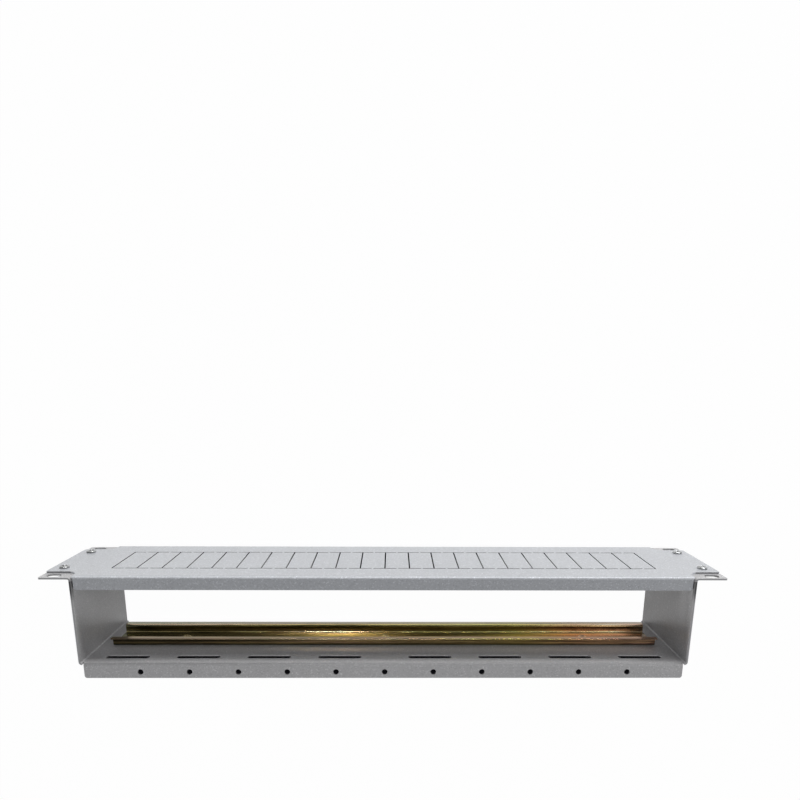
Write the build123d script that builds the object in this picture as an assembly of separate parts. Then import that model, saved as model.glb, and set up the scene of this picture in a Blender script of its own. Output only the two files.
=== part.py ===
"""Two-unit rack distribution panel: a folded rear frame, a break-out cover and a DIN rail.

Millimetres. X runs across the rack, Y runs from front to back and Z is up. The origin is the
middle of the four rack slots, on the plane where the ears' rear faces meet the rack posts.
"""

import os
from math import floor

from build123d import *

# The 19-inch rack: panel size, and the places of its holes from the panel's edges
rack_width = 482.6
panel_height = 88.0
rack_slot_from_side = 8.75
rack_slot_from_top = 5.9
rack_hole_pitch = 15.875

# Slots and corners of the ears
rack_slot_length = 10.0
rack_slot_width = 7.0
ear_corner_radius = 1.5

# Rear frame: one sheet folded into ears, arms, back plate and two rear flanges
frame_sheet = 1.2
frame_bend_radius = 1.0
ear_width = 21.3
frame_depth = 64.3
back_plate_setback = 0.5
rear_flange_depth = 11.5
rear_flange_setback = 3.0
rear_flange_corner = 1.8
fold_relief_width = 0.8

# Tie slots in the back plate, and the row of holes in each rear flange
tie_slot_length = 32.5
tie_slot_width = 5.5
tie_slot_pitch = 52.0
tie_slot_middle_pitch = 66.7
tie_slot_end_margin = 8.0
tie_slot_from_fold = 11.8
flange_hole_diameter = 4.2
flange_hole_pitch = 35.3
flange_hole_end_margin = 30.0
flange_hole_inset = 6.8

# Front panel: one sheet with notched corners, two flanges and a field of break-out blanks
cover_sheet = 1.2
cover_bend_radius = 1.0
cover_flange_depth = 10.0
cover_flange_corner = 3.0
cover_side_gap = 0.8
notch_height = 12.0
notch_corner_radius = 7.5
module_width = 18.0
window_side_margin = 18.0
window_height = 46.0
slit_width = 1.0
micro_joint = 1.3

# Top-hat rail, 35 x 7.5
rail_end_gap = 10.3
rail_width = 35.0
rail_depth = 7.5
rail_wall_width = 27.0
rail_sheet = 1.0
rail_bend_radius = 0.6
rail_drop = 3.0
rail_screw_from_end = 52.5

# M4 fasteners
screw_diameter = 4.0
screw_hole_diameter = 4.6
thread_clearance = 0.1
panel_screw_head = 7.0
panel_screw_head_height = 2.0
panel_screw_reach = 6.5
rail_screw_head = 7.4
rail_screw_head_height = 2.4
rail_screw_reach = 8.0
head_rim_share = 0.45
head_crown_share = 0.62
recess_span = 4.2
recess_arm = 1.0
recess_depth = 1.2
screw_point = 0.5
clinch_nut_diameter = 8.0
clinch_nut_height = 2.0
clinch_shank_diameter = 5.4
clinch_shank_play = 0.2
washer_diameter = 9.0
washer_thickness = 0.8
nut_across_flats = 7.0
nut_height = 3.2
nut_chamfer = 0.4

# Planes and lines that the pieces share
ear_front = -frame_sheet
cover_front = ear_front - cover_sheet
plate_rear = frame_depth
plate_front = plate_rear - frame_sheet
rack_slot_span_x = rack_width - 2 * rack_slot_from_side
rack_slot_span_z = panel_height - 2 * rack_slot_from_top
panel_screw_span_z = rack_slot_span_z - 2 * rack_hole_pitch
body_width = rack_width - 2 * ear_width
arm_inner = body_width / 2 - frame_sheet
back_plate_height = panel_height - 2 * back_plate_setback
tie_slot_height = back_plate_height / 2 - tie_slot_from_fold
frame_outer_radius = frame_bend_radius + frame_sheet
rear_flange_length = body_width - 2 * rear_flange_setback
cover_body_width = 2 * (arm_inner - cover_side_gap)
clinch_shank_length = frame_sheet - clinch_shank_play
rail_length = 2 * (arm_inner - rail_end_gap)
rail_screw_pitch = rail_length / 2 - rail_screw_from_end
rail_height = -rail_drop

# How far a cut runs past both faces, and how near an edge must be to count as found
cut_overrun = 1.0
find_tolerance = 0.01


def centred_places(count, pitch):
    """Places of count things in a row, pitch apart and centred on zero."""
    return [pitch * (index - (count - 1) / 2) for index in range(count)]


# How many blanks, slots and holes the width has room for
module_count = floor((cover_body_width - 2 * window_side_margin) / module_width)
tie_slot_room = (rear_flange_length - tie_slot_middle_pitch - tie_slot_length) / 2
tie_slots_each_side = 1 + floor((tie_slot_room - tie_slot_end_margin) / tie_slot_pitch)
flange_hole_room = rear_flange_length - 2 * flange_hole_end_margin
flange_hole_places = centred_places(1 + floor(flange_hole_room / flange_hole_pitch), flange_hole_pitch)
rail_screw_places = {
    "left": -rail_screw_pitch,
    "middle": 0.0,
    "right": rail_screw_pitch,
}
panel_screw_places = {
    f"{level}_{side}": (x_sign * rack_slot_span_x / 2, z_sign * panel_screw_span_z / 2)
    for level, z_sign in (("upper", 1), ("lower", -1))
    for side, x_sign in (("left", -1), ("right", 1))
}


def folded_face(corners, sheet, inside_radius, plane):
    """Cross-section of a folded sheet, from the corners of the line through its middle."""
    middle_line = FilletPolyline(*corners, radius=inside_radius + sheet / 2)
    return plane * trace(middle_line, line_width=sheet)


def along_x(face, length):
    """Extrusion of a YZ cross-section, centred on the middle of the rack."""
    return extrude(face, amount=length / 2, dir=(1, 0, 0), both=True)


def across_y(sketch, front, rear):
    """Solid of an XZ outline between two depths."""
    face = Plane.XZ.offset(-front) * sketch
    return extrude(face, amount=rear - front, dir=(0, 1, 0))


def corner_edges(solid, direction, x, y=None):
    """Edges along one direction at plus or minus x, at the depth y where one is given."""
    edges = solid.edges().filter_by(direction)
    edges = edges.filter_by(lambda edge: abs(abs(edge.center().X) - x) < find_tolerance)
    if y is not None:
        edges = edges.filter_by(lambda edge: abs(edge.center().Y - y) < find_tolerance)
    return edges


def tie_slot_places():
    """Places of the tie slots along the back plate, with the wider gap in its middle."""
    first = tie_slot_middle_pitch / 2
    right = [first + index * tie_slot_pitch for index in range(tie_slots_each_side)]
    return [-x for x in reversed(right)] + right


def make_rail_holes():
    """Outlines of the rail screws' clearance holes, the same in the rail and the back plate."""
    hole = Circle(screw_hole_diameter / 2)
    return [Pos(x, rail_height) * hole for x in rail_screw_places.values()]


def make_rear_frame():
    """The folded frame: ears, arms, back plate and rear flanges in one sheet."""
    ear_y = -frame_sheet / 2
    arm_x = body_width / 2 - frame_sheet / 2
    plate_y = plate_rear - frame_sheet / 2
    band_line = [
        (-rack_width / 2, ear_y),
        (-arm_x, ear_y),
        (-arm_x, plate_y),
        (arm_x, plate_y),
        (arm_x, ear_y),
        (rack_width / 2, ear_y),
    ]
    band = folded_face(band_line, frame_sheet, frame_bend_radius, Plane.XY)
    frame = extrude(band, amount=panel_height / 2, dir=(0, 0, 1), both=True)
    frame = fillet(corner_edges(frame, Axis.Y, rack_width / 2), ear_corner_radius)

    flange_z = back_plate_height / 2 - frame_sheet / 2
    flange_end = plate_front + rear_flange_depth
    channel_line = [
        (flange_end, -flange_z),
        (plate_y, -flange_z),
        (plate_y, flange_z),
        (flange_end, flange_z),
    ]
    channel_face = folded_face(channel_line, frame_sheet, frame_bend_radius, Plane.YZ)
    channel = along_x(channel_face, rear_flange_length)
    channel = fillet(
        corner_edges(channel, Axis.Z, rear_flange_length / 2, flange_end), rear_flange_corner
    )
    fold_start = back_plate_height / 2 - frame_outer_radius
    relief = Pos(0, plate_y, fold_start) * Box(
        rear_flange_length + 2 * fold_relief_width,
        2 * frame_sheet,
        panel_height,
        align=(Align.CENTER, Align.CENTER, Align.MIN),
    )
    frame -= [relief, mirror(relief, Plane.XY)]
    frame += channel

    rack_slots = GridLocations(rack_slot_span_x, rack_slot_span_z, 2, 2) * SlotOverall(
        rack_slot_length, rack_slot_width
    )
    nut_hole = Circle(clinch_shank_diameter / 2 + thread_clearance)
    nut_holes = GridLocations(rack_slot_span_x, panel_screw_span_z, 2, 2) * nut_hole
    frame -= across_y(Sketch() + rack_slots + nut_holes, ear_front - cut_overrun, cut_overrun)

    tie_slot = SlotOverall(tie_slot_length, tie_slot_width)
    tie_slots = [
        Pos(x, z) * tie_slot
        for x in tie_slot_places()
        for z in (-tie_slot_height, tie_slot_height)
    ]
    rail_holes = make_rail_holes()
    plate_openings = Sketch() + tie_slots + rail_holes
    frame -= across_y(plate_openings, plate_front - cut_overrun, plate_rear + cut_overrun)

    flange_hole = Cylinder(flange_hole_diameter / 2, panel_height)
    hole_y = plate_front + flange_hole_inset
    frame -= [Pos(x, hole_y, 0) * flange_hole for x in flange_hole_places]
    return frame


def make_break_out_slits():
    """Outline of the slits round the blanks, broken by a micro-joint above and below each blank."""
    middle = window_height / 2
    uprights = [
        Pos(x, 0) * Rectangle(slit_width, window_height + slit_width)
        for x in centred_places(module_count + 1, module_width)
    ]
    rows = [
        Pos(0, z) * Rectangle(module_count * module_width, slit_width) for z in (-middle, middle)
    ]
    joints = [
        Pos(x, z) * Rectangle(micro_joint, 2 * slit_width)
        for x in centred_places(module_count, module_width)
        for z in (-middle, middle)
    ]
    return Sketch() + rows - joints + uprights


def make_front_panel():
    """The cover: a notched face with break-out blanks, folded back above and below."""
    face_y = cover_front + cover_sheet / 2
    flange_z = panel_height / 2 - cover_sheet / 2
    flange_end = cover_front + cover_flange_depth
    tray_line = [
        (flange_end, -flange_z),
        (face_y, -flange_z),
        (face_y, flange_z),
        (flange_end, flange_z),
    ]
    tray_face = folded_face(tray_line, cover_sheet, cover_bend_radius, Plane.YZ)
    tray = along_x(tray_face, cover_body_width)
    tray = fillet(
        corner_edges(tray, Axis.Z, cover_body_width / 2, flange_end), cover_flange_corner
    )

    wings = Rectangle(rack_width, panel_height - 2 * notch_height)
    wings = fillet(wings.vertices(), ear_corner_radius)
    cover_rear = cover_front + cover_sheet
    cover = tray + across_y(wings, cover_front, cover_rear)
    cover = fillet(
        corner_edges(cover, Axis.Y, cover_body_width / 2, face_y), notch_corner_radius
    )
    screw_holes = GridLocations(rack_slot_span_x, panel_screw_span_z, 2, 2) * Circle(
        screw_hole_diameter / 2
    )
    openings = make_break_out_slits() + screw_holes
    return cover - across_y(openings, cover_front - cut_overrun, cover_rear + cut_overrun)


def make_din_rail():
    """The top-hat rail, its web flat on the back plate and its lips to the front."""
    lip_y = plate_front - rail_depth + rail_sheet / 2
    web_y = plate_front - rail_sheet / 2
    lip_z = rail_width / 2
    wall_z = rail_wall_width / 2 - rail_sheet / 2
    hat_line = [
        (lip_y, rail_height - lip_z),
        (lip_y, rail_height - wall_z),
        (web_y, rail_height - wall_z),
        (web_y, rail_height + wall_z),
        (lip_y, rail_height + wall_z),
        (lip_y, rail_height + lip_z),
    ]
    rail = along_x(folded_face(hat_line, rail_sheet, rail_bend_radius, Plane.YZ), rail_length)
    holes = Sketch() + make_rail_holes()
    return rail - across_y(holes, web_y - cut_overrun, plate_front + cut_overrun)


def make_pan_screw(head_diameter, head_height, reach):
    """A pan-head screw with a cross recess: its shank points along +Z from the head's underside."""
    shank_radius = screw_diameter / 2
    head_radius = head_diameter / 2
    with BuildPart() as screw:
        with BuildSketch(Plane.XZ):
            with BuildLine():
                Polyline(
                    (0, -head_height),
                    (0, reach),
                    (shank_radius - screw_point, reach),
                    (shank_radius, reach - screw_point),
                    (shank_radius, 0),
                    (head_radius, 0),
                    (head_radius, -head_rim_share * head_height),
                    (head_crown_share * head_radius, -head_height),
                    close=True,
                )
            make_face()
        revolve(axis=Axis.Z)
        with Locations((0, 0, -head_height)):
            for angle in (0, 90):
                Box(
                    recess_span,
                    recess_arm,
                    2 * recess_depth,
                    rotation=(0, 0, angle),
                    mode=Mode.SUBTRACT,
                )
    return screw.part


def make_clinch_nut():
    """A self-clinching nut: its shank sits in the sheet towards -Z, its body stands towards +Z."""
    body = Cylinder(
        clinch_nut_diameter / 2, clinch_nut_height, align=(Align.CENTER, Align.CENTER, Align.MIN)
    )
    body = chamfer(body.edges().sort_by(Axis.Z)[-1], nut_chamfer)
    shank = Cylinder(
        clinch_shank_diameter / 2,
        clinch_shank_length,
        align=(Align.CENTER, Align.CENTER, Align.MAX),
    )
    thread = Cylinder(screw_diameter / 2 + thread_clearance, 4 * clinch_nut_height)
    return body + shank - thread


def make_washer():
    """A flat washer standing from its seat towards +Z."""
    ring = Circle(washer_diameter / 2) - Circle(screw_hole_diameter / 2)
    return extrude(ring, washer_thickness)


def make_hex_nut():
    """A hexagon nut standing from its seat towards +Z, its corners turned off at both faces."""
    hexagon = RegularPolygon(nut_across_flats / 2, 6, major_radius=False)
    blank = extrude(hexagon, nut_height)
    turned = Cylinder(
        hexagon.radius, nut_height, align=(Align.CENTER, Align.CENTER, Align.MIN)
    )
    turned = chamfer(turned.edges().filter_by(GeomType.CIRCLE), nut_chamfer)
    thread = Cylinder(screw_diameter / 2 + thread_clearance, 4 * nut_height)
    return (blank & turned) - thread


def seated(shape, x, y, z):
    """A fastener made along +Z, turned to point to the rear and set on its seat."""
    return Plane(origin=(x, y, z), x_dir=(1, 0, 0), z_dir=(0, 1, 0)) * shape


def make_nodes():
    """Every piece of the assembly by the name of its node."""
    nodes = {
        "rear_frame": make_rear_frame(),
        "front_panel": make_front_panel(),
        "din_rail": make_din_rail(),
    }
    panel_screw = make_pan_screw(panel_screw_head, panel_screw_head_height, panel_screw_reach)
    clinch_nut = make_clinch_nut()
    for place, (x, z) in panel_screw_places.items():
        nodes[f"panel_screw_{place}"] = seated(panel_screw, x, cover_front, z)
        nodes[f"clinch_nut_{place}"] = seated(clinch_nut, x, 0, z)

    rail_screw = make_pan_screw(rail_screw_head, rail_screw_head_height, rail_screw_reach)
    washer = make_washer()
    hex_nut = make_hex_nut()
    for place, x in rail_screw_places.items():
        nodes[f"rail_screw_{place}"] = seated(rail_screw, x, plate_front - rail_sheet, rail_height)
        nodes[f"rail_washer_{place}"] = seated(washer, x, plate_rear, rail_height)
        nut_seat = plate_rear + washer_thickness
        nodes[f"rail_nut_{place}"] = seated(hex_nut, x, nut_seat, rail_height)
    return nodes


def main():
    os.makedirs("parts", exist_ok=True)
    for name, shape in make_nodes().items():
        shape.label = name
        export_step(shape, f"parts/{name}.step")
        print(name, round(shape.volume, 1), "mm3")


main()
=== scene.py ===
# %% [markdown]
# # A rack power distribution panel
#
# The object is a two-unit 19-inch rack panel. One folded sheet makes the ears, the two arms, the
# back plate and the rear flanges. A second sheet is the cover, with a field of blanks that break
# out one by one. A yellow zinc rail behind the cover waits for circuit breakers. Everything was
# drawn in CAD first, so this script loads those solids as a frame that never moves, and gives
# each one its finish. Only the screws are made again here, with rounder heads and real threads.

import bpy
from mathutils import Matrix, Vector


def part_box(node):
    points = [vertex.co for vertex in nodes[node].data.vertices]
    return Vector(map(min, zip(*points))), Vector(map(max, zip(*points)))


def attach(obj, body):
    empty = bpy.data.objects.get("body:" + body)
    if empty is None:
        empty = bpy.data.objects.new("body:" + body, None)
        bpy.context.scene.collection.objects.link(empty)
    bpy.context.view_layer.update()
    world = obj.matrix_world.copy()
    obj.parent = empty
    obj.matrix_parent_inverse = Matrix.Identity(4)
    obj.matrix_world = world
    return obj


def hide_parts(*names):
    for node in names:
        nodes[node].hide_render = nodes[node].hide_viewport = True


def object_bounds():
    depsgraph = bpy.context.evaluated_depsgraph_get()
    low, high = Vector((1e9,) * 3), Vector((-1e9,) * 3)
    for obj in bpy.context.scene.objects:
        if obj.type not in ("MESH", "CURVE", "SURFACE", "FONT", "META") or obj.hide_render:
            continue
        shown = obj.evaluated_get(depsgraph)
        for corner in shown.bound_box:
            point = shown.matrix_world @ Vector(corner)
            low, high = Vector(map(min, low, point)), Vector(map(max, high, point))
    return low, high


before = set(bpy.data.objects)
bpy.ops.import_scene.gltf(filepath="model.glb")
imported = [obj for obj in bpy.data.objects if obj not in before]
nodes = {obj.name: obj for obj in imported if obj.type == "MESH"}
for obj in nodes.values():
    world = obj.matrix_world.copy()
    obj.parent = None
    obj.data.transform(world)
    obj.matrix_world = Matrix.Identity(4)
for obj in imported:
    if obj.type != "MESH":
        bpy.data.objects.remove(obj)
cad_box = [list(corner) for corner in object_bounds()]

import math

import bmesh
import bpy
from mathutils import Matrix, Vector

MM = 0.001
print("nodes loaded:", len(nodes))
print("size in mm:", [round((high - low) / MM, 1) for low, high in zip(*cad_box)])

# %% [markdown]
# ## Where things are
#
# The CAD frame has its origin between the four rack slots, X across the rack, Y to the rear and
# Z up. Reading boxes from the frame keeps later steps free of copied numbers: if the cover grows
# in CAD, the floor, the masks and the cards below follow it. A few lengths that no box tells are
# named here in millimetres.

# %% Measure the frame
floor_height = cad_box[0][2]
cover_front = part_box("front_panel")[0].y
frame_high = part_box("rear_frame")[1]
rail_low, rail_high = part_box("din_rail")

sheet = 1.2 * MM
rail_sheet = 1.0 * MM
plate_front = rail_high.y
plate_rear = plate_front + sheet
flange_half_width = frame_high.x - 24.2 * MM
hole_row = frame_high.y - 4.7 * MM
print("floor at", round(floor_height / MM, 1), "mm")
print("back plate starts at", round(plate_front / MM, 1), "mm")

# %% [markdown]
# ## The camera
#
# The photograph looks down on the panel from above its front edge, so the cover's face is at the
# top of the picture and the rear flange at the bottom. The camera is described the way a
# photographer would: where it stands, the point it looks at, and which way is up in the picture.
# Turning those three into a rotation needs one small matrix. The object sits low in the frame,
# and a vertical lens shift puts it there without bending its perspective.

# %% Place the camera
camera_place = Vector((-5.7, -135.8, 490.2)) * MM
camera_target = Vector((-11.2, -8.8, 0.0)) * MM
picture_up = Vector((0.0044, -1.0, 0.0))

camera_data = bpy.data.cameras.new("photo_camera")
camera_data.sensor_width = 36.0
camera_data.lens = 30.0
camera_data.shift_y = 0.19
camera_data.clip_start = 0.01
camera = bpy.data.objects.new("photo_camera", camera_data)
bpy.context.collection.objects.link(camera)

back = (camera_place - camera_target).normalized()
right = picture_up.cross(back).normalized()
up = back.cross(right)
rotation = Matrix((right, up, back)).transposed().to_4x4()
camera.matrix_world = Matrix.Translation(camera_place) @ rotation
bpy.context.scene.camera = camera
print("camera is", round((camera_place - camera_target).length / MM), "mm from its target")

# %% [markdown]
# ## Small helpers for node trees
#
# A material is a graph of nodes, and these helpers keep the graphs below readable. The first ones
# add a node, do sums with numbers or sockets, mix colours, and send a value through a colour ramp.

# %% Helpers for single nodes
def add(tree, kind, inputs=None, **settings):
    """Adds a node. Inputs are values or sockets, and settings are the node's own options."""
    made = tree.nodes.new(kind)
    for name, value in settings.items():
        setattr(made, name, value)
    for name, value in (inputs or {}).items():
        if isinstance(value, bpy.types.NodeSocket):
            tree.links.new(value, made.inputs[name])
        else:
            made.inputs[name].default_value = value
    return made


def maths(tree, operation, *operands, clamp=False):
    """A Math node's result, from numbers or sockets."""
    inputs = dict(enumerate(operands))
    return add(tree, "ShaderNodeMath", inputs, operation=operation, use_clamp=clamp).outputs[0]


def blend_colors(tree, kind, amount, first, second):
    """Mixes two colours. Amount may be a number or a mask."""
    inputs = {0: amount, 6: first, 7: second}
    return add(tree, "ShaderNodeMix", inputs, data_type="RGBA", blend_type=kind).outputs[2]


def gray(level):
    """A neutral colour."""
    return (level, level, level)


def ramp(tree, value, stops):
    """A colour ramp through (place, colour) stops."""
    made = add(tree, "ShaderNodeValToRGB", {0: value})
    elements = made.color_ramp.elements
    while len(elements) < len(stops):
        elements.new(0.5)
    for element, (place, color) in zip(elements, stops):
        element.position = place
        element.color = (*color, 1.0)
    return made.outputs[0]


print("helpers for nodes ready")

# %% [markdown]
# Masks are what the graphs use most. A mask is 1 where something is true and 0 elsewhere, so the
# product of masks is true where all of them are. A place along a length is easier to read as a
# share from 0 to 1 than in metres.

# %% Helpers for masks and places
def all_of(tree, first, *masks):
    """The product of masks: 1 where every one of them is 1."""
    product = first
    for mask in masks:
        product = maths(tree, "MULTIPLY", product, mask)
    return product


def size_of(tree, value):
    """A value without its sign."""
    return maths(tree, "ABSOLUTE", value)


def share_between(tree, value, low, high):
    """Where a value lies between two others: 0 at low and 1 at high."""
    return maths(tree, "DIVIDE", maths(tree, "SUBTRACT", value, low), high - low)


def split(tree, vector):
    """The X, Y and Z of a vector."""
    return add(tree, "ShaderNodeSeparateXYZ", {0: vector}).outputs


def object_place(tree):
    """The shaded point, in the frame that the whole panel shares."""
    return add(tree, "ShaderNodeTexCoord").outputs["Object"]


print("helpers for masks ready")

# %% [markdown]
# The last helpers start a material or a node group, put a bump into a material's shader, and
# dress a CAD node with a finished material.

# %% Helpers for materials and groups
def new_material(name):
    """A material with one Principled shader, and nothing else in it."""
    material = bpy.data.materials.new(name)
    material.use_nodes = True
    return material, material.node_tree, material.node_tree.nodes["Principled BSDF"]


def new_group(name, inputs, outputs):
    """A shader node group with named sockets, and its two end nodes."""
    group = bpy.data.node_groups.new(name, "ShaderNodeTree")
    for socket, kind, value in inputs:
        made = group.interface.new_socket(socket, in_out="INPUT", socket_type=kind)
        made.default_value = value
    for socket, kind in outputs:
        group.interface.new_socket(socket, in_out="OUTPUT", socket_type=kind)
    start, end = group.nodes.new("NodeGroupInput"), group.nodes.new("NodeGroupOutput")
    return group, start.outputs, end.inputs


def set_bump(tree, shader, height, strength, distance):
    """Shades a surface as if a height stood out of it."""
    inputs = {"Strength": strength, "Distance": distance, "Height": height}
    bump = add(tree, "ShaderNodeBump", inputs)
    tree.links.new(bump.outputs[0], shader.inputs["Normal"])


def dress(node, material):
    """Gives a CAD node its material."""
    for slot in nodes[node].material_slots:
        slot.material = material


print("helpers for materials ready")

# %% [markdown]
# ## Powder coat
#
# Both sheets carry a light grey powder coat. Baked powder flows into a fine pebbled skin, less
# than a millimetre from bump to bump, and each pebble reflects a little more or less light, which
# reads as a speckle. The pebbles come from noise for the height and from Voronoi cells for the
# speckle. The cover and the frame both use it, so it is a node group that gives a colour, a
# roughness and a height.

# %% Build the powder coat group
powder, powder_in, powder_out = new_group(
    "powder_coat",
    [
        ("Color", "NodeSocketColor", (0.5, 0.5, 0.5, 1.0)),
        ("Pebbles per metre", "NodeSocketFloat", 1400.0),
        ("Speckle", "NodeSocketFloat", 0.6),
    ],
    [("Color", "NodeSocketColor"), ("Roughness", "NodeSocketFloat"), ("Height", "NodeSocketFloat")],
)
place = object_place(powder)
pebbles = add(
    powder,
    "ShaderNodeTexNoise",
    {"Vector": place, "Scale": powder_in["Pebbles per metre"], "Detail": 2.0, "Roughness": 0.55},
).outputs[0]
grains = add(
    powder,
    "ShaderNodeTexVoronoi",
    {"Vector": place, "Scale": powder_in["Pebbles per metre"], "Randomness": 1.0},
).outputs["Color"]
cloud = add(powder, "ShaderNodeTexNoise", {"Vector": place, "Scale": 9.0, "Detail": 3.0}).outputs[0]
print("pebbles, grains and clouds in", powder.name)

# %% [markdown]
# Most grains are close to the coat's own colour. Ramps keep it that way: only a few grains come
# out dark or bright, the brightest at half again the coat's colour as painted glints, and the
# clouds change the tone by a few percent.

# %% Colour the powder coat
grain_tone = add(powder, "ShaderNodeSeparateColor", {0: grains}).outputs[0]
# Random speckle, whose top stop paints small glints into the colour.
speckle = ramp(
    powder,
    grain_tone,
    [(0.0, gray(0.72)), (0.2, gray(0.93)), (0.85, gray(1.02)), (1.0, gray(1.5))],
)
cloud_tone = ramp(powder, cloud, [(0.3, (0.96, 0.96, 0.965)), (0.7, gray(1.03))])
clouded = blend_colors(powder, "MULTIPLY", 1.0, powder_in["Color"], cloud_tone)
speckled = blend_colors(powder, "MULTIPLY", powder_in["Speckle"], clouded, speckle)
smoothest, unevenness = 0.24, 0.2
uneven = maths(powder, "MULTIPLY_ADD", pebbles, unevenness, smoothest)
powder.links.new(speckled, powder_out["Color"])
powder.links.new(uneven, powder_out["Roughness"])
powder.links.new(pebbles, powder_out["Height"])
print("group", powder.name, "has", len(powder.nodes), "nodes")

# %% [markdown]
# ## Cut edges and folds
#
# The group finds two kinds of cut face from their place and normal alone. The first is the
# outline: the faces that point up or down outside the flanges, which the materials make darker
# than the coat.

# %% Start the cut edge group with the outline
cut_edge, cut_in, cut_out = new_group(
    "cut_edge",
    [
        ("Flange half width", "NodeSocketFloat", 0.2),
        ("Sheet front", "NodeSocketFloat", 0.0),
        ("Sheet rear", "NodeSocketFloat", 0.0),
        ("Reach up and down", "NodeSocketFloat", 0.04),
        ("Hole row", "NodeSocketFloat", 0.0),
    ],
    [("Outline", "NodeSocketFloat"), ("Painted shade", "NodeSocketFloat"), ("Turn", "NodeSocketFloat")],
)
here = split(cut_edge, object_place(cut_edge))
faces = split(cut_edge, add(cut_edge, "ShaderNodeNewGeometry").outputs["True Normal"])
from_middle = size_of(cut_edge, here["X"])
from_centre_line = size_of(cut_edge, here["Z"])
rise = size_of(cut_edge, faces["Z"])

level = 0.97
past_flange = maths(cut_edge, "GREATER_THAN", from_middle, cut_in["Flange half width"])
points_up = maths(cut_edge, "GREATER_THAN", rise, level)
cut_edge.links.new(all_of(cut_edge, past_flange, points_up), cut_out["Outline"])
print("outline mask in", cut_edge.name)

# %% [markdown]
# The second kind is the openings. They are the faces inside the sheet's own thickness that look
# along it, which are the walls of slots and slits, and the walls of the small holes in the rear
# flanges. The materials paint them as black shade.

# %% Mask the openings
along_sheet, upright = 0.5, 0.2
hole_reach = 2.5 * MM
holes_end_share = 0.9
opening = all_of(
    cut_edge,
    maths(cut_edge, "GREATER_THAN", here["Y"], cut_in["Sheet front"]),
    maths(cut_edge, "LESS_THAN", here["Y"], cut_in["Sheet rear"]),
    maths(cut_edge, "LESS_THAN", from_centre_line, cut_in["Reach up and down"]),
    maths(cut_edge, "LESS_THAN", size_of(cut_edge, faces["Y"]), along_sheet),
)
from_row = size_of(cut_edge, maths(cut_edge, "SUBTRACT", here["Y"], cut_in["Hole row"]))
holes_end = maths(cut_edge, "MULTIPLY", cut_in["Flange half width"], holes_end_share)
hole = all_of(
    cut_edge,
    maths(cut_edge, "LESS_THAN", from_row, hole_reach),
    maths(cut_edge, "LESS_THAN", rise, upright),
    maths(cut_edge, "LESS_THAN", from_middle, holes_end),
)
print("opening masks in", cut_edge.name)

# %% [markdown]
# Painted shade also darkens the narrow corner between the ear, the arm and the cover: the arm's
# edge and the first millimetres inside it are dark just behind the ear. The group also tells how
# far a face has turned out of the upright: 0 on a plate and 1 on a flange, with every step of the
# fold in between. That is an angle, so it is the arcsine of the normal's height.

# %% Paint shade into the corner and measure the turn
corner_end, corner_fade = 17 * MM, 8 * MM
corner_darkness = 0.8
behind_ear = 1.3 * MM
corner_height = 41 * MM
# Painted shade in the corner behind the ear, full for the first millimetres and gone by 17 mm.
before_end = maths(cut_edge, "SUBTRACT", corner_end, here["Y"])
shadow = maths(cut_edge, "DIVIDE", before_end, corner_fade, clamp=True)
outwards = maths(cut_edge, "MULTIPLY", here["X"], faces["X"])
corner = all_of(
    cut_edge,
    maths(cut_edge, "MULTIPLY", shadow, corner_darkness),
    past_flange,
    maths(cut_edge, "LESS_THAN", outwards, 0.001),
    maths(cut_edge, "GREATER_THAN", here["Y"], behind_ear),
    maths(cut_edge, "GREATER_THAN", from_centre_line, corner_height),
)
# Slot and hole walls and the ear corner all get painted black shade.
dark = maths(cut_edge, "MAXIMUM", maths(cut_edge, "MAXIMUM", opening, hole), corner)
turn = maths(cut_edge, "DIVIDE", maths(cut_edge, "ARCSINE", rise), math.pi / 2)
cut_edge.links.new(dark, cut_out["Painted shade"])
cut_edge.links.new(turn, cut_out["Turn"])
print("group", cut_edge.name, "has", len(cut_edge.nodes), "nodes")

# %% [markdown]
# ## The two coated sheets
#
# The cover and the frame get one material each. They share both groups, and differ a little in
# tone, because the frame was coated in another batch and its colour carries some painted shade for
# the less light it sees. One function builds either material from its colours, the painted light
# and shade on its folds and the places of its cuts.

# %% Coat a sheet
# Black for painted shade in the walls of slots, slits and holes, and in the ear corner.
painted_shade_black = (0.004, 0.004, 0.005, 1.0)


def coat_sheet(name, node, coat_color, edge_color, fold_light_and_shade, cuts):
    """Gives a CAD node its powder coat, painted light and shade on its folds, a darker cut outline
    and painted black shade in its openings.
    """
    material, tree, shader = new_material(name)
    coat = add(tree, "ShaderNodeGroup", {"Color": (*coat_color, 1.0)}, node_tree=powder)
    edge = add(tree, "ShaderNodeGroup", cuts, node_tree=cut_edge)
    # Painted highlight and shade by how far each face has turned.
    tones = ramp(tree, edge.outputs["Turn"], [(place, gray(tone)) for place, tone in fold_light_and_shade])
    folded = blend_colors(tree, "MULTIPLY", 1.0, coat.outputs["Color"], tones)
    outlined = blend_colors(tree, "MIX", edge.outputs["Outline"], folded, (*edge_color, 1.0))
    shade = blend_colors(tree, "MIX", edge.outputs["Painted shade"], outlined, painted_shade_black)
    tree.links.new(shade, shader.inputs["Base Color"])
    tree.links.new(coat.outputs["Roughness"], shader.inputs["Roughness"])
    set_bump(tree, shader, coat.outputs["Height"], 0.35, 0.1 * MM)
    shader.inputs["Specular IOR Level"].default_value = 0.45
    dress(node, material)
    print(node, "is coated with", name)


print("ready to coat", [name for name in nodes if name in ("front_panel", "rear_frame")])
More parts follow.
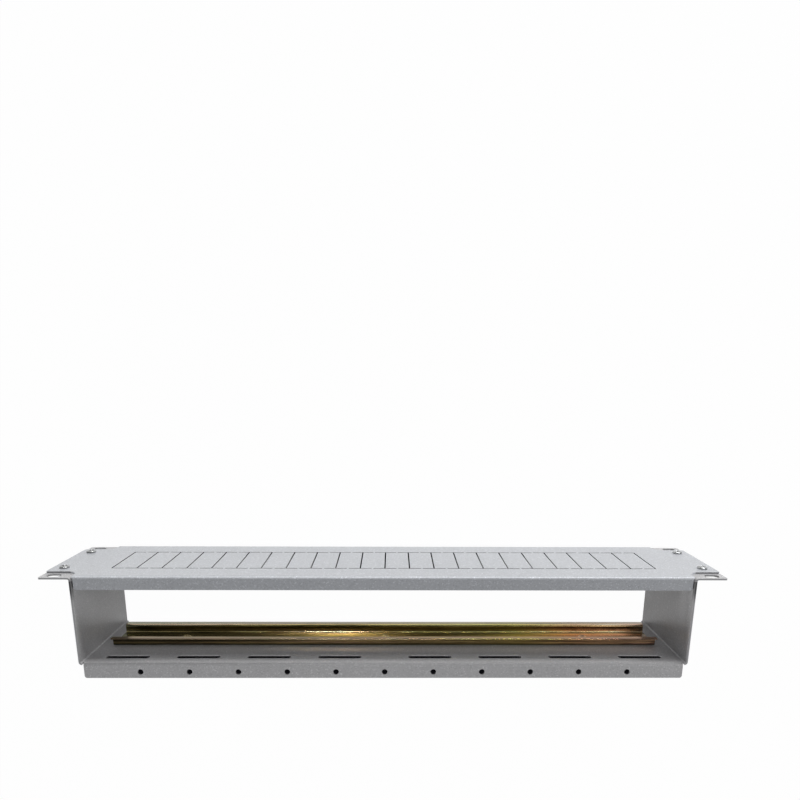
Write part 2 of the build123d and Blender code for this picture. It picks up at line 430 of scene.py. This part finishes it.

# %% [markdown]
# A list of tones over each face's turn paints light and shade on the folds: a painted highlight on
# the cover's outer folds, and on the frame painted shade in the folds and a little painted light on
# the flanges. In the frame the front 0.4 of the slots' walls stays grey and the rest is painted
# black shade. The masks stop a hair inside the sheet, so that no broad face is caught.

# %% Coat the cover and the frame
skin = 0.05 * MM
# Behind this depth the frame's slot walls are painted black shade.
slot_shade_start = plate_front + 0.4 * sheet
no_holes = -1.0
coat_sheet(
    "cover_powder_coat",
    "front_panel",
    (0.47, 0.482, 0.505),
    (0.2, 0.2, 0.21),
    # painted highlight on the cover's folds
    [(0.25, 1.0), (0.4, 1.4), (0.6, 1.4), (0.7, 1.0)],
    {
        "Flange half width": flange_half_width,
        "Sheet front": -2 * sheet + skin,
        "Sheet rear": -sheet - skin,
        "Reach up and down": 25 * MM,
        "Hole row": no_holes,
    },
)
coat_sheet(
    "frame_powder_coat",
    "rear_frame",
    (0.46, 0.455, 0.46),
    (0.42, 0.42, 0.43),
    # painted shade in the frame's folds, painted light on its flanges
    [(0.1, 1.0), (0.35, 0.6), (0.55, 0.62), (0.85, 0.95), (0.95, 1.12)],
    {
        "Flange half width": flange_half_width,
        "Sheet front": slot_shade_start + skin,
        "Sheet rear": plate_rear - skin,
        "Reach up and down": 40 * MM,
        "Hole row": hole_row,
    },
)

# %% [markdown]
# ## Zinc bloom
#
# Both the rail and the screws are zinc plated. Plated zinc is never even: it has soft cloudy
# patches, and lines drawn along the strip when it was rolled. One group makes clouds and drawn
# lines from the same stretched noise, and each metal sets its own stretch.

# %% Build the zinc group
zinc, zinc_in, zinc_out = new_group(
    "zinc_bloom",
    [
        ("Stretch", "NodeSocketVector", (60.0, 60.0, 60.0)),
        ("Line scale", "NodeSocketFloat", 8.0),
        ("Roughness", "NodeSocketFloat", 0.3),
        ("Unevenness", "NodeSocketFloat", 0.15),
    ],
    [("Bloom", "NodeSocketFloat"), ("Roughness", "NodeSocketFloat"), ("Height", "NodeSocketFloat")],
)
stretched = {0: object_place(zinc), 1: zinc_in["Stretch"]}
drawn = add(zinc, "ShaderNodeVectorMath", stretched, operation="MULTIPLY").outputs[0]
bloom = add(
    zinc, "ShaderNodeTexNoise", {"Vector": drawn, "Scale": 1.0, "Detail": 4.0, "Roughness": 0.6}
).outputs[0]
lines = add(
    zinc, "ShaderNodeTexNoise", {"Vector": drawn, "Scale": zinc_in["Line scale"], "Detail": 2.0}
).outputs[0]
line_height = 0.15
wobble = maths(zinc, "MULTIPLY", maths(zinc, "SUBTRACT", lines, 0.5), zinc_in["Unevenness"])
bowed = maths(zinc, "MULTIPLY_ADD", lines, line_height, bloom)
zinc.links.new(bloom, zinc_out["Bloom"])
zinc.links.new(maths(zinc, "ADD", wobble, zinc_in["Roughness"]), zinc_out["Roughness"])
zinc.links.new(bowed, zinc_out["Height"])
print("group", zinc.name, "has", len(zinc.nodes), "nodes")

# %% [markdown]
# The rail's metal and the fasteners' metal start the same way, and differ in how the group is set
# and in their colour.

# %% Helper for zinc plated metals
def plate_with_zinc(name, settings):
    """A metal with uneven zinc plating, whose colour is still to come."""
    material, tree, shader = new_material(name)
    coat = add(tree, "ShaderNodeGroup", settings, node_tree=zinc)
    shader.inputs["Metallic"].default_value = 1.0
    tree.links.new(coat.outputs["Roughness"], shader.inputs["Roughness"])
    return material, tree, shader, coat.outputs


print("helper for zinc ready")

# %% [markdown]
# ## The rail's yellow passivation
#
# Yellow passivated zinc shows interference colours: olive, gold, bronze and a little pink, in
# streaks along the rail. The streaks are the bloom of the zinc group pulled long in X, and sent
# through a colour ramp, whose darkest streaks are also painted reflection of dark surroundings.
# The colour changes by place too, mostly as painted light and shade, so the next cell finds where
# on the rail a point is: how high, how far along and how deep, and on which of its faces.

# %% Find places on the rail
rail_metal, tree, shader, plating = plate_with_zinc(
    "yellow_passivated_zinc",
    {"Stretch": (5.0, 520.0, 520.0), "Line scale": 5.0, "Roughness": 0.18, "Unevenness": 0.2},
)
spot = split(tree, object_place(tree))
height = share_between(tree, spot["Z"], rail_low.z, rail_high.z)
length = share_between(tree, spot["X"], rail_low.x, rail_high.x)
depth = share_between(tree, spot["Y"], rail_low.y, rail_high.y - rail_sheet)

channel_half_width = 13 * MM
lip_skin = 0.1 * MM
web_share = 0.995
centre_line = (rail_low.z + rail_high.z) / 2
from_centre = size_of(tree, maths(tree, "SUBTRACT", spot["Z"], centre_line))
lips = maths(tree, "LESS_THAN", spot["Y"], rail_low.y + lip_skin)
in_channel = maths(tree, "LESS_THAN", from_centre, channel_half_width)
outside = maths(tree, "SUBTRACT", 1.0, maths(tree, "MAXIMUM", in_channel, lips))
on_web = maths(tree, "GREATER_THAN", depth, web_share)
print("rail is", round((rail_high.z - rail_low.z) / MM, 1), "mm high")

# %% [markdown]
# Five ramps then multiply the streaks, and most of what they add is painted light and shade:
#
# - along the height, on the lips alone: painted tones for what each lip mirrors, so the lower lip
#   is pale and greenish and the upper one bronze
# - along the length: the hue goes from peach at one end through green, and that end is painted
#   brighter and the far end darker
# - along the depth, inside the channel: painted shade on the walls, and a painted highlight at
#   their foot
# - along the depth, outside the channel: a painted highlight on the lip's edge, brown painted shade
#   on the walls, and painted shadow, nearly black, where the rail meets the plate
# - along the height, on the web alone: painted shade along one edge and in a dark line, and a
#   painted yellow highlight beside it

# %% Colour the rail's film
# The darkest stops paint the reflection of dark surroundings; the hues are the film's own.
streaks = [
    (0.36, (0.10, 0.085, 0.04)),
    (0.44, (0.32, 0.27, 0.13)),
    (0.49, (0.60, 0.49, 0.24)),
    (0.53, (0.16, 0.11, 0.06)),
    (0.59, (0.66, 0.50, 0.36)),
    (0.67, (0.26, 0.30, 0.18)),
]
# Painted light and shade on the lips, for what each lip mirrors.
lip_painted_light = [
    (0.1, (0.55, 0.62, 0.7)),
    (0.5, (1.6, 1.4, 1.3)),
    (0.895, (1.6, 1.4, 1.3)),
    (0.905, (0.42, 0.34, 0.25)),
]
# Hue along the length, and painted light: one end brighter, the far end darker.
length_hue_and_light = [
    (0.0, (1.3, 1.1, 1.25)),
    (0.14, (1.5, 1.15, 1.15)),
    (0.25, (1.3, 1.3, 0.85)),
    (0.37, (1.15, 1.15, 0.95)),
    (0.55, (1.05, 1.0, 0.85)),
    (1.0, (0.75, 0.8, 0.78)),
]
# Painted shade on the channel walls and a painted highlight at their foot.
channel_shade_and_highlight = [
    (0.22, (1.1, 1.2, 1.2)),
    (0.32, (0.40, 0.40, 0.36)),
    (0.62, (0.40, 0.36, 0.34)),
    (0.76, gray(0.9)),
    (0.87, gray(1.0)),
    (0.90, (2.3, 2.3, 2.5)),
    (0.98, (2.3, 2.3, 2.5)),
    (web_share, gray(1.0)),
]
# Painted highlight on the lip's edge, painted shade on the walls, painted shadow at the plate.
outer_highlight_and_shadow = [
    (0.08, (2.0, 1.85, 1.75)),
    (0.12, (0.8, 0.7, 0.75)),
    (0.78, (0.8, 0.7, 0.75)),
    (0.88, gray(0.35)),
]
# Painted shade in a line along the web and a painted yellow highlight beside it.
web_shade_and_highlight = [
    (0.16, (0.8, 0.84, 0.88)),
    (0.19, (0.25, 0.23, 0.18)),
    (0.24, (0.25, 0.23, 0.18)),
    (0.27, (1.1, 1.28, 1.35)),
    (0.36, (1.1, 1.28, 1.35)),
    (0.4, (0.7, 0.8, 0.85)),
]
film = ramp(tree, plating["Bloom"], streaks)
for mask, along, tones in (
    (lips, height, lip_painted_light),
    (1.0, length, length_hue_and_light),
    (in_channel, depth, channel_shade_and_highlight),
    (outside, depth, outer_highlight_and_shadow),
    (on_web, height, web_shade_and_highlight),
):
    film = blend_colors(tree, "MULTIPLY", mask, film, ramp(tree, along, tones))
tree.links.new(film, shader.inputs["Base Color"])
print("film coloured by", sum(node.type == "VALTORGB" for node in tree.nodes), "ramps")

# %% [markdown]
# The plating stays a metal, so the film is its Base Color. Two slopes then go into one bump.
# Rolled strip springs open a little, so the walls lean outwards by under three degrees, and its
# edges are rounded by the rolls, so the lips' edges turn far forwards. Height that grows along Y
# gives both in the shading, and leaves the web and the lips' faces alone, because each of those
# lies at one Y. The first slope keeps the lamp's long reflection on the web, and the second makes
# the pale line along the upper lip.

# %% Finish the rail's surface
ripple = 0.05 * MM
wall_slope = math.tan(math.radians(2.7)) / ripple
edge_slope = math.tan(math.radians(48)) / ripple
worn_depth = 1.0 * MM
sprung = maths(tree, "MULTIPLY_ADD", spot["Y"], wall_slope, plating["Height"])
edge_only = maths(tree, "MINIMUM", spot["Y"], rail_low.y + worn_depth)
worn = maths(tree, "MULTIPLY_ADD", edge_only, edge_slope, sprung)
set_bump(tree, shader, worn, 1.0, ripple)
dress("din_rail", rail_metal)
print("rail plated,", round((rail_high.x - rail_low.x) / MM), "mm long")

# %% [markdown]
# ## Bright zinc for the fasteners
#
# The cover's screws and all nuts and washers have clear bright zinc: a cool grey metal with small
# cloudy patches. The same group does it with an even stretch, and a ramp of greys. The rail's own
# screws are yellow like the rail.

# %% Make the fastener metal
fastener_metal, tree, shader, plating = plate_with_zinc(
    "bright_zinc_plate",
    {"Stretch": (420.0, 420.0, 420.0), "Line scale": 6.0, "Roughness": 0.24, "Unevenness": 0.18},
)
cloudy_greys = [(0.3, (0.28, 0.28, 0.275)), (0.7, (0.47, 0.48, 0.49))]
tree.links.new(ramp(tree, plating["Bloom"], cloudy_greys), shader.inputs["Base Color"])
set_bump(tree, shader, plating["Height"], 0.15, 0.03 * MM)
small_parts = [name for name in nodes if name.startswith(("clinch_nut", "rail_washer", "rail_nut"))]
for name in small_parts:
    dress(name, fastener_metal)
print("fastener metal on", len(small_parts), "nuts and washers")

# %% [markdown]
# ## Screws with rounded heads
#
# The CAD screws are simple: a chamfered head with a straight cross, and a smooth shank. Close up,
# a pan head is a low dome with a cross recess whose arms get shallower outwards, and the shank
# carries an M4 thread. A boolean could cut the recess, but a polar grid whose height is computed
# at each point gives cleaner faces.

# %% Shape the head
around = 72
head_steps = 40
head_edge = 0.15 * MM
recess_depth = 1.2 * MM
recess_half_width, recess_slope = 0.55 * MM, 0.12 * MM
recess_reach, recess_run_out = 2.2 * MM, 1.1 * MM


def recess(x, z):
    """How deep the cross recess is at a point of the head, from 0 to 1."""
    deepest = 0.0
    for along, side in ((abs(x), abs(z)), (abs(z), abs(x))):
        width = min(1.0, max(0.0, (recess_half_width - side) / recess_slope))
        length = min(1.0, max(0.0, (recess_reach - along) / recess_run_out))
        deepest = max(deepest, width * length)
    return deepest


def head_profile(radius, height, rim_share):
    """Pairs of (radius, depth below the top) from the middle of the head to its underside."""
    dome = height - rim_share * height
    profile = []
    for step in range(1, head_steps + 1):
        r = radius * math.sin(step / head_steps * math.pi / 2)
        profile.append((r, dome * (1 - math.sqrt(1 - (r / radius) ** 2))))
    return profile + [(radius, height - head_edge), (radius - head_edge, height)]


def ring(point, *settings):
    """One ring of points around the screw. The first setting of point is the share of a turn."""
    return [point(step / around, *settings) for step in range(around)]


print("recess is", round(recess_depth / MM, 1), "mm deep")

# %% [markdown]
# The thread comes from the same idea as the recess: the radius of the shank follows a helix. At
# the tip the thread fades and the shank narrows, so that it would find its way into a nut.

# %% Shape the shank
thread_pitch = 0.7 * MM
thread_depth = 0.28 * MM
thread_radius = 1.98 * MM
rings_per_turn = 8
tip_length, tip_narrowing = 0.5 * MM, 0.4 * MM


def shank_radius(share, y, length):
    """The shank's radius at a share of a turn and a distance from the head's top."""
    turn = (y / thread_pitch - share) % 1.0
    ridge = 1 - abs(2 * turn - 1)
    taper = min(1.0, (length - y) / tip_length)
    return thread_radius - thread_depth * (1 - ridge) - tip_narrowing * (1 - taper)


def screw_rings(radius, head_height, rim_share, length):
    """Every ring of points, from the middle of the head to the tip of the shank."""

    def on_head(share, r, depth):
        angle = 2 * math.pi * share
        x, z = r * math.cos(angle), r * math.sin(angle)
        return Vector((x, depth + recess_depth * recess(x, z), z))

    def on_shank(share, y):
        angle = 2 * math.pi * share
        r = shank_radius(share, y, length)
        return Vector((r * math.cos(angle), y, r * math.sin(angle)))

    rings = []
    for r, depth in head_profile(radius, head_height, rim_share):
        rings.append(ring(on_head, r, depth))
    rows = int((length - head_height) / (thread_pitch / rings_per_turn))
    for row in range(rows + 1):
        y = head_height + (length - head_height) * row / rows
        rings.append(ring(on_shank, y))
    return rings


print("thread pitch is", round(thread_pitch / MM, 1), "mm")

# %% [markdown]
# Neighbouring rings are joined by quads, a fan closes the middle of the recess, and one polygon
# closes the tip. The new screw then takes the place of its CAD node.

# %% Join the rings into a screw
def make_screw(name, node, head_height, rim_share, metal, finish):
    """A pan-head screw along +Y in the place of a CAD node."""
    low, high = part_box(node)
    middle = Vector(((low.x + high.x) / 2, low.y, (low.z + high.z) / 2))
    rings = screw_rings((high.x - low.x) / 2, head_height, rim_share, high.y - low.y)
    mesh = bmesh.new()
    bottom = mesh.verts.new(middle + Vector((0, recess_depth, 0)))
    loops = [[mesh.verts.new(middle + point) for point in points] for points in rings]
    neighbours = [(step, (step + 1) % around) for step in range(around)]
    for step, after in neighbours:
        mesh.faces.new((bottom, loops[0][step], loops[0][after]))
    for inner, outer in zip(loops, loops[1:]):
        for step, after in neighbours:
            mesh.faces.new((inner[step], outer[step], outer[after], inner[after]))
    mesh.faces.new(list(reversed(loops[-1])))
    bmesh.ops.recalc_face_normals(mesh, faces=mesh.faces)
    data = bpy.data.meshes.new(name)
    mesh.to_mesh(data)
    mesh.free()
    data.shade_smooth()
    piece = bpy.data.objects.new(name, data)
    bpy.context.collection.objects.link(piece)
    piece.data.materials.append(metal)
    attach(piece, "root")
    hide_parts(node)
    return piece


print("ready to make", sum("_screw_" in name for name in nodes), "screws")

# %% [markdown]
# The cover's screws and the rail's screws differ in metal and head. The rail's have a taller dome
# with less rim.

# %% Make the seven screws
screw_kinds = {
    "panel_screw": (2.0 * MM, 0.4, fastener_metal, "bright_zinc"),
    "rail_screw": (2.4 * MM, 0.22, rail_metal, "yellow_zinc"),
}
screws = []
for node in sorted(nodes):
    for kind, settings in screw_kinds.items():
        if node.startswith(kind):
            screws.append(make_screw("threaded_" + node, node, *settings))
print("screws made:", len(screws), "with", len(screws[0].data.polygons), "faces each")

# %% [markdown]
# ## Floor and white surroundings
#
# The picture's background is plain white, with nothing but the panel in it. The floor is a pale
# surface that the panel stands on, and it keeps the panel's shadow. To the camera, and to the
# reflections in metal, it is mixed with an even white, so the shadow stays light and the edge of
# the floor never shows.

# %% Lay the floor
floor_mesh = bpy.data.meshes.new("floor")
reach = 4.0
corners = [(-reach, -reach), (reach, -reach), (reach, reach), (-reach, reach)]
floor_mesh.from_pydata([(x, y, floor_height) for x, y in corners], [], [(0, 1, 2, 3)])
floor = bpy.data.objects.new("floor", floor_mesh)
bpy.context.collection.objects.link(floor)


def seen_directly(tree):
    """1 for rays from the camera, from a mirror or through glass, and 0 for bounced light."""
    path = add(tree, "ShaderNodeLightPath").outputs
    seen = maths(tree, "MAXIMUM", path["Is Camera Ray"], path["Is Glossy Ray"])
    return maths(tree, "MAXIMUM", seen, path["Is Transmission Ray"])


white_share = 0.98
floor_paint, tree, shader = new_material("pale_floor")
shader.inputs["Base Color"].default_value = (0.9, 0.9, 0.9, 1.0)
shader.inputs["Roughness"].default_value = 0.9
shader.inputs["Specular IOR Level"].default_value = 0.1
white = add(tree, "ShaderNodeEmission", {"Color": (1, 1, 1, 1), "Strength": 1.0})
share = maths(tree, "MULTIPLY", seen_directly(tree), white_share)
mixed = add(tree, "ShaderNodeMixShader", {0: share, 1: shader.outputs[0], 2: white.outputs[0]})
tree.links.new(mixed.outputs[0], tree.nodes["Material Output"].inputs["Surface"])
floor_mesh.materials.append(floor_paint)
print("floor laid at", round(floor_height / MM, 1), "mm")

# %% [markdown]
# The world does the same as the floor: it is white to the eye, and a soft grey that lights the
# panel from all sides.

# %% Light the world
world = bpy.data.worlds.new("studio")
bpy.context.scene.world = world
world.use_nodes = True
tree = world.node_tree
background = tree.nodes["Background"]
soft = add(tree, "ShaderNodeBackground", {"Color": (0.95, 0.97, 1.0, 1.0), "Strength": 0.16})
background.inputs["Color"].default_value = (1, 1, 1, 1)
background.inputs["Strength"].default_value = 1.0
path = add(tree, "ShaderNodeLightPath").outputs["Is Camera Ray"]
mixed = add(tree, "ShaderNodeMixShader", {0: path, 1: soft.outputs[0], 2: background.outputs[0]})
tree.links.new(mixed.outputs[0], tree.nodes["World Output"].inputs["Surface"])
print("world: white to the camera, soft grey as a light")

# %% [markdown]
# ## The dark behind the slots
#
# The tie slots, the flange holes and the blanks' slits are to read black, as if deep shade lay
# behind them. Three thin black cards paint that shade. One is just behind the blanks, so that their
# slits read as lines, one is just behind the back plate, and one is just under the upper rear
# flange. They are part of the studio and not of the panel, they only show from their front, and
# they catch no light.

# %% Set up the black cards
# A black that paints shade, seen from the front alone.
shade_card_paint, tree, shader = new_material("painted_shade_card")
tree.nodes.remove(shader)
black = add(tree, "ShaderNodeEmission", {"Color": (0.003, 0.003, 0.004, 1), "Strength": 1.0})
clear = add(tree, "ShaderNodeBsdfTransparent")
behind = add(tree, "ShaderNodeNewGeometry").outputs["Backfacing"]
mixed = add(tree, "ShaderNodeMixShader", {0: behind, 1: black.outputs[0], 2: clear.outputs[0]})
tree.links.new(mixed.outputs[0], tree.nodes["Material Output"].inputs["Surface"])


def stand_card(name, half_width, first, second):
    """A one-sided card of painted black shade between two long edges, each a (y, z) pair, seen by
    the camera alone.
    """
    ends = [(-half_width, first), (half_width, first), (half_width, second), (-half_width, second)]
    mesh = bpy.data.meshes.new(name)
    mesh.from_pydata([Vector((x, *edge)) for x, edge in ends], [], [(0, 1, 2, 3)])
    mesh.materials.append(shade_card_paint)
    card = bpy.data.objects.new(name, mesh)
    bpy.context.collection.objects.link(card)
    for ray in ("diffuse", "glossy", "transmission", "shadow", "volume_scatter"):
        setattr(card, "visible_" + ray, False)
    print(name, "faces", [round(value, 2) for value in mesh.polygons[0].normal])


gap = 0.2 * MM
blanks_half_width, blanks_half_height = 200 * MM, 25 * MM
behind_cover = cover_front + sheet + gap
behind_plate = plate_rear + gap
flange_rear = frame_high.y - 0.5 * MM
card_half_width = flange_half_width - 1.0 * MM
under_flange = frame_high.z - 2.6 * MM
stand_card(
    "card_behind_plate",
    card_half_width,
    (behind_plate, -under_flange),
    (behind_plate, under_flange),
)
stand_card(
    "card_behind_blanks",
    blanks_half_width,
    (behind_cover, -blanks_half_height),
    (behind_cover, blanks_half_height),
)
stand_card(
    "card_under_flange",
    card_half_width,
    (behind_plate, under_flange),
    (flange_rear, under_flange),
)

# %% [markdown]
# ## Lamps
#
# The cover's face is the brightest part of the photograph and the flanges that look up are darker,
# so the main light is a long strip in front and low. Two weaker softboxes above the ends reach the
# inner sides of the arms. The left one is the stronger, and stands where the rail's left end
# mirrors it to the camera. A strip at the rear lights the back for other views. The small spot is
# there for one thing: its long reflection in the rail.

# %% Hang the lamps
def hang_lamp(name, place, target, width, height, power):
    """A rectangular area lamp at a place, turned to a target."""
    data = bpy.data.lights.new(name, "AREA")
    data.shape = "RECTANGLE"
    data.size = width
    data.size_y = height
    data.energy = power
    lamp = bpy.data.objects.new(name, data)
    bpy.context.collection.objects.link(lamp)
    lamp.location = place
    lamp.rotation_euler = (Vector(target) - Vector(place)).to_track_quat("-Z", "Y").to_euler()
    print(name, "gives", power, "W")


hang_lamp("front_strip", (-0.45, -1.6, 0.17), (0, 0, 0), 1.6, 0.3, 20.5)
hang_lamp("left_softbox", (-0.8, -0.4, 1.1), (0, 0, 0), 0.9, 0.9, 4.4)
hang_lamp("right_softbox", (1.2, 0.1, 0.7), (0, 0, 0), 0.8, 0.8, 0.9)
hang_lamp("rear_strip", (0.3, 1.8, 0.2), (0, 0, 0), 1.4, 0.4, 26.0)
hang_lamp("small_spot", (0.155, -0.65, 1.25), (0, 0.05, 0), 0.12, 0.12, 2.1)

# %% [markdown]
# A plain view transform shows the colours as they are, so the white surroundings stay white.

# %% Set how the picture is shown
bpy.context.scene.view_settings.view_transform = "Standard"
print("view transform:", bpy.context.scene.view_settings.view_transform)
